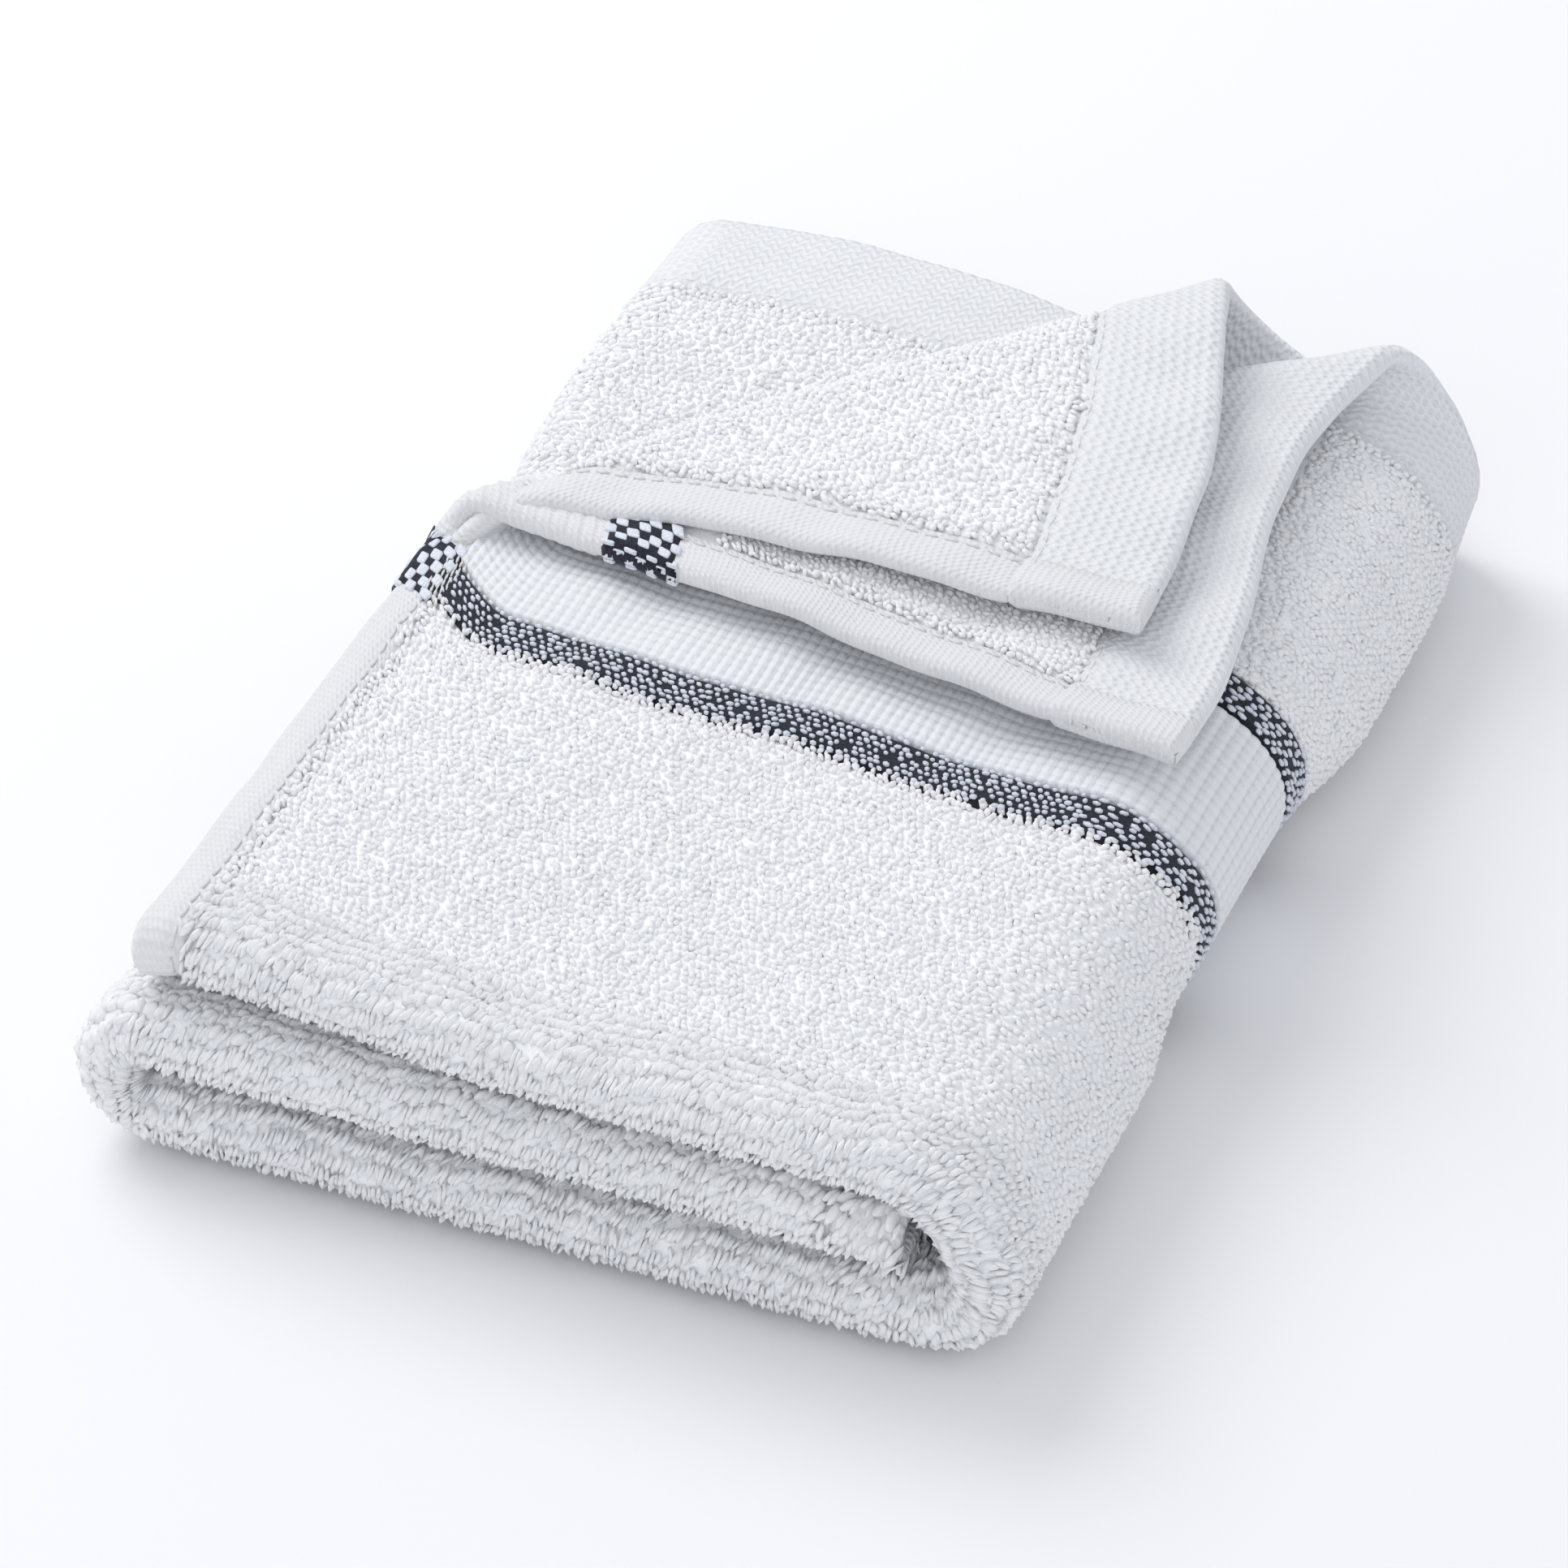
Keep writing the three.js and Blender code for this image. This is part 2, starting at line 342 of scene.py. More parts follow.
def read_points(piece):
    points = np.empty(3 * len(piece.data.vertices))
    piece.data.vertices.foreach_get("co", points)
    return points.reshape(-1, 3)


def write_points(piece, points):
    piece.data.vertices.foreach_set("co", points.ravel())
    piece.data.update()


def finish_piece(piece, material):
    """Keeps the flat place as a UV map in metres, folds the piece and gives it its finish."""
    flat = read_points(piece)
    corners = np.empty(len(piece.data.loops), dtype=np.int32)
    piece.data.loops.foreach_get("vertex_index", corners)
    cloth = piece.data.uv_layers.new(name="cloth")
    cloth.data.foreach_set("uv", flat[corners, :2].ravel().astype(np.float32))
    write_points(piece, fold(flat[:, 0], flat[:, 1], flat[:, 2]))
    piece.data.polygons.foreach_set("use_smooth", np.ones(len(piece.data.polygons), dtype=bool))
    piece.data.materials.append(material)
    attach(piece, "root")
    return piece


def flat_slab(name, u0, u1, v0, v1, step_u, step_v):
    """A flat grid with a unit-thick wall, at its place on the open towel."""
    bpy.ops.object.select_all(action="DESELECT")
    bpy.ops.mesh.primitive_grid_add(
        x_subdivisions=max(2, round((u1 - u0) / step_u)),
        y_subdivisions=max(2, round((v1 - v0) / step_v)),
        size=1,
        location=((u0 + u1) / 2, (v0 + v1) / 2, 0),
    )
    piece = bpy.context.object
    piece.name = piece.data.name = name
    piece.scale = (u1 - u0, v1 - v0, 1)
    bpy.ops.object.transform_apply(location=True, rotation=False, scale=True)
    wall = piece.modifiers.new("wall", "SOLIDIFY")
    wall.thickness = 1.0
    wall.offset = 0.0
    bpy.ops.object.modifier_apply(modifier=wall.name)
    return piece


def shape_slab(piece, half, rounding=0.0012):
    """Gives the slab its real half thickness, a function of u and v, with rounded rims."""
    points = read_points(piece)
    u, v = points[:, 0], points[:, 1]
    side = np.sign(points[:, 2])
    rim = np.minimum.reduce([u - u.min(), u.max() - u, v - v.min(), v.max() - v])
    inward = 1 - np.clip(rim / rounding, 0, 1)
    points[:, 2] = side * half(u, v, side) * np.maximum(np.sqrt(1 - inward * inward), 0.35)
    write_points(piece, points)


def from_end(v):
    """Distance from the nearer end of the towel; the woven bands sit deeper at the inner end."""
    inner = LENGTH - v
    past_hem = np.maximum(inner - INNER_EXTRA, END_HEM + 0.005)
    return np.minimum(v, np.where(inner > END_HEM + 0.003, past_hem, inner))


def from_side(u):
    return np.minimum(u, WIDTH - u)


def terry_zone(u, v, spread=0.0):
    """1 where the cloth is terry, 0 in hems and woven bands; spread widens it by that much."""
    edge = 0.0015
    side = smooth((from_side(u) - SIDE_HEM + spread) / edge)
    end = from_end(v)
    far = smooth((end - END_HEM + spread) / edge) * (1 - smooth((end - FAR_STRIPE - spread + edge) / edge))
    main = smooth((end - NEAR_STRIPE - STRIPE + spread) / edge)
    return side * np.maximum(far, main)


def add_cloth():
    """The ground of the whole towel, thinner under its hems and bands."""
    piece = flat_slab("cloth_ground", 0.001, WIDTH - 0.001, 0.001, LENGTH - 0.001, 0.0022, 0.0022)
    shape_slab(piece, lambda u, v, side: THIN_HALF + (GROUND_HALF - THIN_HALF) * terry_zone(u, v))
    return finish_piece(piece, MATERIALS["terry_ground"])


def add_side_hem(name, u0, u1, inner_side):
    """A turned and stitched side hem: cross ribs, and a groove where the stitches pull it in."""
    piece = flat_slab(name, u0, u1, 0.0, LENGTH, 0.0008, 0.00045)

    def half(u, v, side):
        groove = bell(np.abs(u - inner_side), STITCH_INSET, GROOVE_WIDTH)
        ribs = 0.00005 * np.cos(2 * math.pi * v / HEM_RIB + 0.5 * np.sin(u * HEM_RIB_BEND))
        end = from_end(v)
        corded = smooth((end - FAR_STRIPE - STRIPE - 0.003) / 0.001)
        corded = corded * (1 - smooth((end - NEAR_STRIPE + 0.003) / 0.001))
        cords = 0.00030 * np.abs(np.sin(math.pi * v / 0.0022)) * corded
        over_end = 0.0006 * (1 - smooth((end - END_HEM + 0.001) / 0.002))
        seam = bell(end, END_HEM, SEAM_WIDTH)
        return HEM_HALF + ribs + cords + over_end - GROOVE_DEPTH * groove - GROOVE_DEPTH * seam

    shape_slab(piece, half, RIM_ROUNDING)
    return finish_piece(piece, MATERIALS["hem"])


def add_end_hem(name, v0, v1, inner_side):
    """A doubled flat band at an end, tucked in where the side hems cover it."""
    piece = flat_slab(name, 0.0, WIDTH, v0, v1, 0.0012, 0.0010)

    def half(u, v, side):
        groove = bell(np.abs(v - inner_side), STITCH_INSET, GROOVE_WIDTH)
        grain = 0.00008 * np.cos(2 * math.pi * u / 0.0024) * np.cos(2 * math.pi * v / 0.0022)
        tucked = 0.0006 * (1 - smooth((from_side(u) - SIDE_HEM + 0.0022) / 0.0010))
        return HEM_HALF + 0.0001 + grain - GROOVE_DEPTH * groove - tucked

    shape_slab(piece, half, RIM_ROUNDING)
    return finish_piece(piece, MATERIALS["basket"])


def add_rib_band(name, v0, v1, step):
    """The ribbed band between the stripes: cords along v with short floats."""
    piece = flat_slab(name, SIDE_HEM - 0.001, WIDTH - SIDE_HEM + 0.001, v0, v1, step, 0.0006)

    def half(u, v, side):
        ribs = np.sqrt(np.abs(np.sin(math.pi * u / BAND_CORD)))
        floats = np.sqrt(np.abs(np.sin(math.pi * v / BAND_FLOAT)))
        return BAND_HALF - 0.0002 + 0.00030 * ribs + 0.00022 * floats * ribs

    shape_slab(piece, half, 0.0006)
    return finish_piece(piece, MATERIALS["rib"])


def add_stripe(name, v0, v1):
    """The dark woven base of a stripe."""
    piece = flat_slab(name, SIDE_HEM - 0.001, WIDTH - SIDE_HEM + 0.001, v0, v1, 0.0011, 0.0008)
    shape_slab(piece, lambda u, v, side: BAND_HALF + 0.0001 * np.cos(2 * math.pi * v / 0.0016), 0.0006)
    return finish_piece(piece, MATERIALS["stripe_base"])


# ---------------------------------------------------------------- repeated small shapes

def take_shape(bead):
    """The points and triangles of a small closed shape, which is then removed."""
    points = read_points(bead)
    faces = np.empty(3 * len(bead.data.polygons), dtype=np.int32)
    bead.data.polygons.foreach_get("vertices", faces)
    bpy.data.objects.remove(bead, do_unlink=True)
    return points, faces.reshape(-1, 3)


def round_bead():
    """The shape of a loop, a float or a stitch."""
    bpy.ops.object.select_all(action="DESELECT")
    bpy.ops.mesh.primitive_ico_sphere_add(subdivisions=1, radius=1)
    return take_shape(bpy.context.object)


def soft_block():
    """The shape of a check: a cube with its edges taken off."""
    bpy.ops.object.select_all(action="DESELECT")
    bpy.ops.mesh.primitive_cube_add(size=2)
    block = bpy.context.object
    soft = block.modifiers.new("soft", "BEVEL")
    soft.width = 0.28
    soft.segments = 1
    bpy.ops.object.modifier_apply(modifier=soft.name)
    split = block.modifiers.new("split", "TRIANGULATE")
    bpy.ops.object.modifier_apply(modifier=split.name)
    return take_shape(block)


BEAD = round_bead()
BLOCK = soft_block()


def staggered(u0, u1, v0, v1, pitch_u, pitch_v):
    """Rows of places, every other row shifted by half a step."""
    rows = np.arange(v0, v1, pitch_v)
    columns = np.arange(u0, u1, pitch_u)
    u, v = np.meshgrid(columns, rows)
    u = u + (np.arange(len(rows)) % 2)[:, None] * pitch_u / 2
    return u.ravel(), v.ravel()


def add_beads(name, u, v, h, size, lean, turn, material, shape=BEAD):
    """A bead at each place: size is (u, v, h) radii, lean its tilt and turn its angle on the cloth."""
    count = len(u)
    points, triangles = shape
    local = points[None] * size[:, None, :]
    lu = local[:, :, 0] + local[:, :, 2] * lean[:, None, 0]
    lv = local[:, :, 1] + local[:, :, 2] * lean[:, None, 1]
    cos, sin = np.cos(turn)[:, None], np.sin(turn)[:, None]
    flat = np.stack([
        u[:, None] + lu * cos - lv * sin,
        v[:, None] + lu * sin + lv * cos,
        h[:, None] + local[:, :, 2],
    ], -1).reshape(-1, 3)
    flat[:, 0] = np.clip(flat[:, 0], -RIM_OVERHANG, WIDTH + RIM_OVERHANG)
    flat[:, 1] = np.clip(flat[:, 1], -RIM_OVERHANG, LENGTH + RIM_OVERHANG)
    faces = (triangles[None] + len(points) * np.arange(count)[:, None, None]).reshape(-1, 3)
    mesh = bpy.data.meshes.new(name)
    mesh.from_pydata(flat.tolist(), [], faces.tolist())
    piece = bpy.data.objects.new(name, mesh)
    bpy.context.scene.collection.objects.link(piece)
    return finish_piece(piece, material)


def from_bend(v):
    """Distance along the cloth from the middle of the front fold."""
    return np.abs(v - LENGTH / 2)


def add_pile(name, u0, u1, v0, v1, pitch=LOOP_PITCH, face=1, keep=None):
    """Terry loops over a stretch of cloth, lying this way and that."""
    u, v = staggered(u0, u1, v0, v1, pitch, pitch * 1.15)
    u = u + rng.normal(0, pitch * 0.20, len(u))
    v = v + rng.normal(0, pitch * 0.20, len(v))
    wanted = (terry_zone(u, v, 0.0013) > 0.5) & (from_bend(v) > COMBED)
    if keep is not None:
        wanted &= keep(u, v)
    u, v = u[wanted], v[wanted]
    count = len(u)
    tall = LOOP_HEIGHT * rng.uniform(0.75, 1.3, count)
    wide = pitch * 0.42 * rng.uniform(0.8, 1.25, count)
    deep = pitch * 0.66 * rng.uniform(0.8, 1.3, count)
    size = np.stack([wide, deep, tall], -1)
    lean = rng.normal(0, 0.30, (count, 2))
    turn = rng.normal(0, 0.7, count)
    height = face * (GROUND_HALF + tall * 0.12)
    return add_beads(name, u, v, height, size, lean, turn, MATERIALS["terry_loops"])


def add_combed_pile(name, u0, u1):
    """Longer loops in slanting rows where the cloth bends over at the front."""
    front = LENGTH / 2
    u, v = staggered(u0, u1, front - COMBED, front + COMBED, COMBED_PITCH_U, COMBED_PITCH_V)
    u = u + rng.normal(0, 0.00012, len(u))
    v = v + rng.normal(0, 0.00026, len(v)) + 0.0005 * np.sin(u * 190) + 0.0003 * np.sin(u * 410 + v * 300)
    count = len(u)
    mouth = (v > front + 0.004) & (u > U_RIGHT - 0.004) & (u < U_TOP + 0.006) | (u < 0.003)
    tall = np.where(mouth, MOUTH_HEIGHT, COMBED_HEIGHT) * rng.uniform(0.7, 1.25, count)
    size = np.stack([
        COMBED_WIDTH * rng.uniform(0.75, 1.25, count),
        COMBED_LENGTH * rng.uniform(0.80, 1.25, count),
        tall,
    ], -1)
    lean = np.stack([rng.normal(0.15, 0.25, count), rng.normal(0.2, 0.25, count)], -1)
    turn = rng.normal(-0.45, 0.25, count)
    height = GROUND_HALF + tall * 0.15
    return add_beads(name, u, v, height, size, lean, turn, MATERIALS["terry_loops"])


# ---------------------------------------------------------------- materials

class Value:
    """A shader socket that can be used in sums."""

    def __init__(self, tree, socket):
        self.tree = tree
        self.socket = socket

    def maths(self, operation, *others):
        inputs = dict(enumerate((self, *others)))
        return add_node(self.tree, "ShaderNodeMath", {"operation": operation}, inputs)

    def __add__(self, other):
        return self.maths("ADD", other)

    __radd__ = __add__

    def __mul__(self, other):
        return self.maths("MULTIPLY", other)

    __rmul__ = __mul__

    def sine(self):
        return self.maths("SINE")

    def absolute(self):
        return self.maths("ABSOLUTE")

    def stretch(self, low, high):
        """A smooth step from 0 to 1 between two levels."""
        settings = {"interpolation_type": "SMOOTHSTEP"}
        return add_node(self.tree, "ShaderNodeMapRange", settings, {0: self, 1: low, 2: high})


def add_node(tree, kind, settings=None, inputs=None, output=0):
    """Makes a node, sets it up, fills its inputs and returns one of its outputs."""
    made = tree.nodes.new(kind)
    for name, value in (settings or {}).items():
        setattr(made, name, value)
    for key, value in (inputs or {}).items():
        if isinstance(value, Value):
            tree.links.new(value.socket, made.inputs[key])
        else:
            made.inputs[key].default_value = value
    return Value(tree, made.outputs[output])


def mix_colours(factor, first, second):
    """A colour between two, by a factor."""
    settings = {"data_type": "RGBA"}
    return add_node(factor.tree, "ShaderNodeMix", settings, {0: factor, 6: first, 7: second}, 2)


def noise(tree, place, scale, detail=3.0, roughness=0.55):
    """Cloudy noise at a place; the scale is in waves per metre."""
    inputs = {"Vector": place, "Scale": scale, "Detail": detail, "Roughness": roughness}
    return add_node(tree, "ShaderNodeTexNoise", None, inputs)


def start_material(name):
    """An empty material, its node tree and the object's own coordinates."""
    material = bpy.data.materials.new(name)
    material.use_nodes = True
    tree = material.node_tree
    tree.nodes.clear()
    place = add_node(tree, "ShaderNodeTexCoord", output=3)
    return material, tree, place


def cloth_place(tree):
    """u and v on the open towel, in metres, from the piece's own UV map."""
    flat = add_node(tree, "ShaderNodeUVMap", {"uv_map": "cloth"})
    apart = tree.nodes.new("ShaderNodeSeparateXYZ")
    tree.links.new(flat.socket, apart.inputs[0])
    return Value(tree, apart.outputs[0]), Value(tree, apart.outputs[1])


def close_material(tree, colour, height, distance, sheen=0.25, roughness=0.92, glow=0.0):
    """Joins a colour and a height into a matt cloth surface."""
    bump_inputs = {"Height": height, "Distance": distance, "Strength": 0.6}
    surface = add_node(tree, "ShaderNodeBsdfPrincipled", None, {
        "Base Color": colour,
        "Roughness": roughness,
        "Normal": add_node(tree, "ShaderNodeBump", None, bump_inputs),
        "Sheen Weight": sheen,
        "Sheen Roughness": 0.6,
        "Specular IOR Level": 0.2,
        "Subsurface Weight": glow,
        "Subsurface Radius": (1.0, 1.0, 1.0),
        "Subsurface Scale": 0.0006,
    })
    finish = tree.nodes.new("ShaderNodeOutputMaterial")
    tree.links.new(surface.socket, finish.inputs["Surface"])


WHITE = (0.84, 0.85, 0.87, 1)
LOOP_WHITE = (0.97, 0.972, 0.98, 1)
LOOP_SHADE = (0.925, 0.932, 0.955, 1)
COOL_SHADE = (0.93, 0.94, 0.96, 1)
WARM_WHITE = (0.82, 0.82, 0.83, 1)
# painted shade: the darker colour of the grooves between the hem's ribs
HEM_GROOVE_PAINTED_SHADE = (0.77, 0.77, 0.785, 1)
# painted shade: the darker, bluer colour of the grooves in the ribbed band
BAND_GROOVE_PAINTED_SHADE = (0.70, 0.72, 0.77, 1)
# painted shade: the darker, bluer colour of the hollows in the flat weave
WEAVE_PAINTED_SHADE = (0.765, 0.775, 0.80, 1)
NAVY_BLACK = (0.012, 0.014, 0.024, 1)
DARK_GREY = (0.030, 0.034, 0.052, 1)
DOT_WHITE = (0.86, 0.885, 0.94, 1)
DOT_SHADE = (0.66, 0.70, 0.80, 1)
THREAD_WHITE = (0.86, 0.86, 0.86, 1)
THREAD_SHADE = (0.76, 0.76, 0.76, 1)
TURN = 2 * math.pi


def loops_material():
    """Terry loops: nearly white, in soft patches, with light going a little way in."""
    material, tree, place = start_material("cotton_loops")
    patch = noise(tree, place, 520.0, 2.0)
    broad = noise(tree, place, 26.0, 3.0)
    fibres = noise(tree, place, 4200.0, 3.0, 0.7)
    tone = (patch * 0.6 + broad * 0.25 + fibres * 0.15).stretch(0.30, 0.62)
    close_material(tree, mix_colours(tone, LOOP_SHADE, LOOP_WHITE), fibres, 0.0002, glow=0.15)
    return material


def ground_material():
    """The cloth between the loops."""
    material, tree, place = start_material("cotton_ground")
    grain = noise(tree, place, 900.0, 3.0)
    close_material(tree, mix_colours(grain.stretch(0.35, 0.65), COOL_SHADE, LOOP_WHITE), grain, 0.0006)
    return material


def basket_material():
    """Flat weave: small staggered floats, with painted shade making the hollows between them darker and
    bluer, over a random tone.
    """
    material, tree, place = start_material("basket_weave")
    u, v = cloth_place(tree)
    warp = (u * (TURN / 0.0021)).sine()
    weave = warp * (v * (TURN / 0.0018) + warp * 0.9).sine()
    soft = noise(tree, place, 700.0)
    height = weave * 0.5 + soft * 0.6
    tone = height.stretch(-0.25, 0.55)
    # painted shade: the lower the weave, the darker and bluer its colour, mixed with random tone from the
    # noise
    close_material(tree, mix_colours(tone, WEAVE_PAINTED_SHADE, WHITE), height, 0.0006)
    return material


def hem_material():
    """Dense cross ribs of the side hem, a little warmer than the pile, darker in the grooves between the
    ribs as painted shade, over a random tone.
    """
    material, tree, place = start_material("hem_ribs")
    u, v = cloth_place(tree)
    ribs = (v * (TURN / HEM_RIB) + (u * HEM_RIB_BEND).sine() * 0.5).sine()
    soft = noise(tree, place, 1300.0)
    fine = (u * (TURN / 0.0008) + v * (TURN / 0.0013)).sine()
    height = ribs * 0.28 + fine * 0.22 + soft
    # painted shade: the lower the rib surface, the darker its colour, mixed with random tone from the
    # noise
    colour = mix_colours(height.stretch(0.1, 0.9), HEM_GROOVE_PAINTED_SHADE, WARM_WHITE)
    close_material(tree, colour, height, 0.0003)
    return material


def rib_material():
    """Cords with short dotted floats between them; the grooves between cords and floats are darker and
    bluer as painted shade.
    """
    material, tree, place = start_material("ribbed_band")
    u, v = cloth_place(tree)
    groove = (u * (math.pi / BAND_CORD)).sine().absolute()
    dots = (v * (math.pi / BAND_FLOAT)).sine().absolute()
    soft = noise(tree, place, 1200.0)
    height = groove * 0.4 + dots * 0.4 + soft * 0.7
    # painted shade: the grooves between the cords and between the floats are coloured darker and bluer
    shade = (groove + dots * 0.5).stretch(0.05, 0.95)
    close_material(tree, mix_colours(shade, BAND_GROOVE_PAINTED_SHADE, WHITE), height, 0.0005)
    return material


def stripe_base_material():
    """Dark yarn of the checked stripes."""
    material, tree, place = start_material("dark_yarn")
    grain = noise(tree, place, 1500.0, 3.0, 0.7)
    close_material(tree, mix_colours(grain.stretch(0.4, 0.75), NAVY_BLACK, DARK_GREY), grain, 0.0004, 0.1)
    return material


def plain_yarn_material(name, dark, light):
    """Yarn of one colour with a fine grain."""
    material, tree, place = start_material(name)
    grain = noise(tree, place, 2600.0, 3.0, 0.7)
    close_material(tree, mix_colours(grain.stretch(0.35, 0.65), dark, light), grain, 0.0003, 0.15)
    return material


MATERIALS = {
    "terry_loops": loops_material(),
    "terry_ground": ground_material(),
    "basket": basket_material(),
    "hem": hem_material(),
    "rib": rib_material(),
    "stripe_base": stripe_base_material(),
    "stripe_dots": plain_yarn_material("pale_floats", DOT_SHADE, DOT_WHITE),
    "thread": plain_yarn_material("sewing_thread", THREAD_SHADE, THREAD_WHITE),
}


# ---------------------------------------------------------------- stripes and stitches

def add_stripe_floats(name, v0, v1):
    """Pale oval floats in staggered rows over the dark base of a stripe."""
    row_pitch = (v1 - v0) / STRIPE_ROWS
    u, v = staggered(SIDE_HEM, WIDTH - SIDE_HEM, v0 + row_pitch / 2, v1, FLOAT_PITCH, row_pitch)
    chosen = rng.uniform(size=len(u)) > 0.05
    u, v = u[chosen], v[chosen]
    count = len(u)
    u = u + rng.normal(0, 0.00016, count)
    v = v + rng.normal(0, 0.00014, count)
    size = np.stack([
        FLOAT_LENGTH * rng.uniform(0.70, 1.35, count),
        FLOAT_WIDTH * rng.uniform(0.75, 1.25, count),
        np.full(count, FLOAT_HEIGHT),
    ], -1)
    still = np.zeros((count, 2))
    height = np.full(count, BAND_HALF + 0.0001)
    turn = rng.uniform(-0.5, 0.5, count)
    return add_beads(name, u, v, height, size, still, turn, MATERIALS["stripe_dots"])


def add_hem_crossing(name, v0, v1):
    """The dark base where a stripe runs over the top flap's side hem."""
    piece = flat_slab(name, WIDTH - SIDE_HEM, WIDTH + RIM_OVERHANG, v0, v1, 0.0008, 0.0008)
    shape_slab(piece, lambda u, v, side: np.full_like(u, HEM_HALF + 0.0003), 0.0013)
    return finish_piece(piece, MATERIALS["stripe_base"])


def checks_on_faces(v0, v1):
    """Places, heights and sizes of the pale checks on both faces of a hem, in a chequered pattern."""
    columns = np.arange(WIDTH - SIDE_HEM + 0.0012, WIDTH - 0.0002, CHECK_U)
    rows = np.arange(v0 + CHECK_V / 2, v1, CHECK_V)
    u, v = np.meshgrid(columns, rows)
    pale = np.add.outer(np.arange(len(rows)), np.arange(len(columns))) % 2 == 0
    u, v = np.concatenate([u[pale], u[pale]]), np.concatenate([v[pale], v[pale]])
    count = len(u)
    side = np.repeat([1.0, -1.0], count // 2)
    u = u + rng.normal(0, 0.00010, count)
    size = np.stack([
        CHECK_U * 0.54 * rng.uniform(0.85, 1.10, count),
        CHECK_V * 0.53 * rng.uniform(0.90, 1.10, count),
        np.full(count, 0.00030),
    ], -1)
    rim = np.clip(from_side(u) / RIM_ROUNDING, 0, 1)
    height = side * ((HEM_HALF + 0.0002) * np.maximum(np.sqrt(1 - (1 - rim) ** 2), 0.35))
    return u, v, height, size, rng.normal(0, 0.08, count)


def checks_on_rim(v0, v1):
    """The same on the thin edge of the hem, by turns in its upper and its lower half."""
    rows = np.arange(v0 + CHECK_V / 2, v1, CHECK_V)
    count = len(rows)
    height = np.where(np.arange(count) % 2 == 0, 0.00045, -0.00045)
    size = np.tile((0.0005, CHECK_V * 0.5, 0.00050), (count, 1))
    return np.full(count, WIDTH + 0.0001), rows, height, size, np.zeros(count)


def add_hem_checks(name, v0, v1):
    """Pale checks all round the hem where a stripe crosses it."""
    both = zip(checks_on_faces(v0, v1), checks_on_rim(v0, v1))
    u, v, height, size, turn = (np.concatenate(pair) for pair in both)
    still = np.zeros((len(u), 2))
    return add_beads(name, u, v, height, size, still, turn, MATERIALS["stripe_dots"], BLOCK)


def add_crossing_threads(name, v0, v1):
    """Pale sewing threads running over a stripe at the inner edge of the hem."""
    lines = WIDTH - SIDE_HEM + np.array([-0.0007, 0.0002, 0.0011, 0.0020])
    u, v = np.meshgrid(lines, np.arange(v0, v1, 0.0012))
    u = (u + 0.0002 * np.sin(v * 2600)).ravel()
    v = v.ravel()
    count = len(u)
    size = np.tile((0.00022, 0.00085, 0.00022), (count, 1))
    height = np.full(count, HEM_HALF + 0.00025)
    still = np.zeros((count, 2))
    turn = rng.normal(0.22, 0.10, count)
    return add_beads(name, u, v, height, size, still, turn, MATERIALS["thread"])


def add_stitches(name, u, v, along_u):
    """A row of short stitches on both faces of a hem."""
    u, v = np.concatenate([u, u]), np.concatenate([v, v])
    count = len(u)
    side = np.repeat([1.0, -1.0], count // 2)
    footprint = (STITCH_LONG, STITCH_THIN) if along_u else (STITCH_THIN, STITCH_LONG)
    size = np.tile((*footprint, 0.00025), (count, 1))
    still = np.zeros((count, 2))
    height = side * (HEM_HALF - 0.00035)
    turn = rng.normal(0, 0.08, count)
    return add_beads(name, u, v, height, size, still, turn, MATERIALS["thread"])


# ---------------------------------------------------------------- the towel

def beyond_crease(u, v, ply):
    """How far a place on the top flap lies beyond the crease of its ply."""
    corner = TURNED[ply]
    slope = (BACK - corner["hem_y"]) / (corner["end_x"] - TOP_LEFT)
    y = along(v)[0]
    return (y - corner["hem_y"] - slope * (flat_x(u) - TOP_LEFT)) / math.hypot(1, slope)


def shows_on_top(u, v):
    """The part of the top flap's outer face that the turned corner leaves open."""
    y = along(v)[0]
    under_hem = y > -0.004 - 0.09 * (flat_x(u) - TOP_LEFT)
    return ~(under_hem & (flat_x(u) < RIGHT_FOLD_X + 0.004))


def shows_on_inner_flap(u, v):
    """The part of the inner flap's outer face that the top flap leaves open."""
    x = INNER_FLAP_END - u
    y = along(v)[0]
    return (x < TOP_LEFT + 0.008) | (y > 0.95 * (x - TOP_LEFT) - 0.004) | (v > SIDE_RUN - 0.008)


def add_hems():
    """The side hem of both flaps and the hem of both ends."""
    return [
        add_side_hem("side_hem_inner_flap", 0.0, SIDE_HEM, SIDE_HEM),
        add_side_hem("side_hem_top_flap", WIDTH - SIDE_HEM, WIDTH, WIDTH - SIDE_HEM),
        add_end_hem("end_hem_outer", 0.0, END_HEM, END_HEM),
        add_end_hem("end_hem_inner", LENGTH - END_HEM, LENGTH, LENGTH - END_HEM),
    ]


def add_bands(end, place, step):
    """Both stripes of an end and the ribbed band between them; place gives v at a distance."""
    pieces = []
    for stripe, start in (("far_stripe", FAR_STRIPE), ("near_stripe", NEAR_STRIPE)):
        name = f"{stripe}_{end}"
        v0, v1 = sorted((place(start), place(start + STRIPE)))
        wide0, wide1 = v0 - 0.0022, v1 + 0.0022
        pieces += [
            add_stripe(name, v0, v1),
            add_stripe_floats(f"{name}_floats", v0, v1),
            add_hem_crossing(f"{name}_hem", wide0, wide1),
            add_hem_checks(f"{name}_hem_checks", wide0, wide1),
            add_crossing_threads(f"{name}_hem_threads", v0 - 0.001, v1 + 0.001),
        ]
    v0, v1 = sorted((place(FAR_STRIPE + STRIPE), place(NEAR_STRIPE)))
    return pieces + [add_rib_band(f"rib_band_{end}", v0, v1, step)]


def turned_inner_shows(u, v):
    """Where the inner ply's face shows once its corner is turned, from a little before the crease."""
    return beyond_crease(u, v, "inner") > -0.02


def turned_outer_shows(u, v):
    """Where the outer ply's inside shows, between the two turned side hems."""
    return (beyond_crease(u, v, "outer") > 0.01) & (WIDTH - u < 0.035)


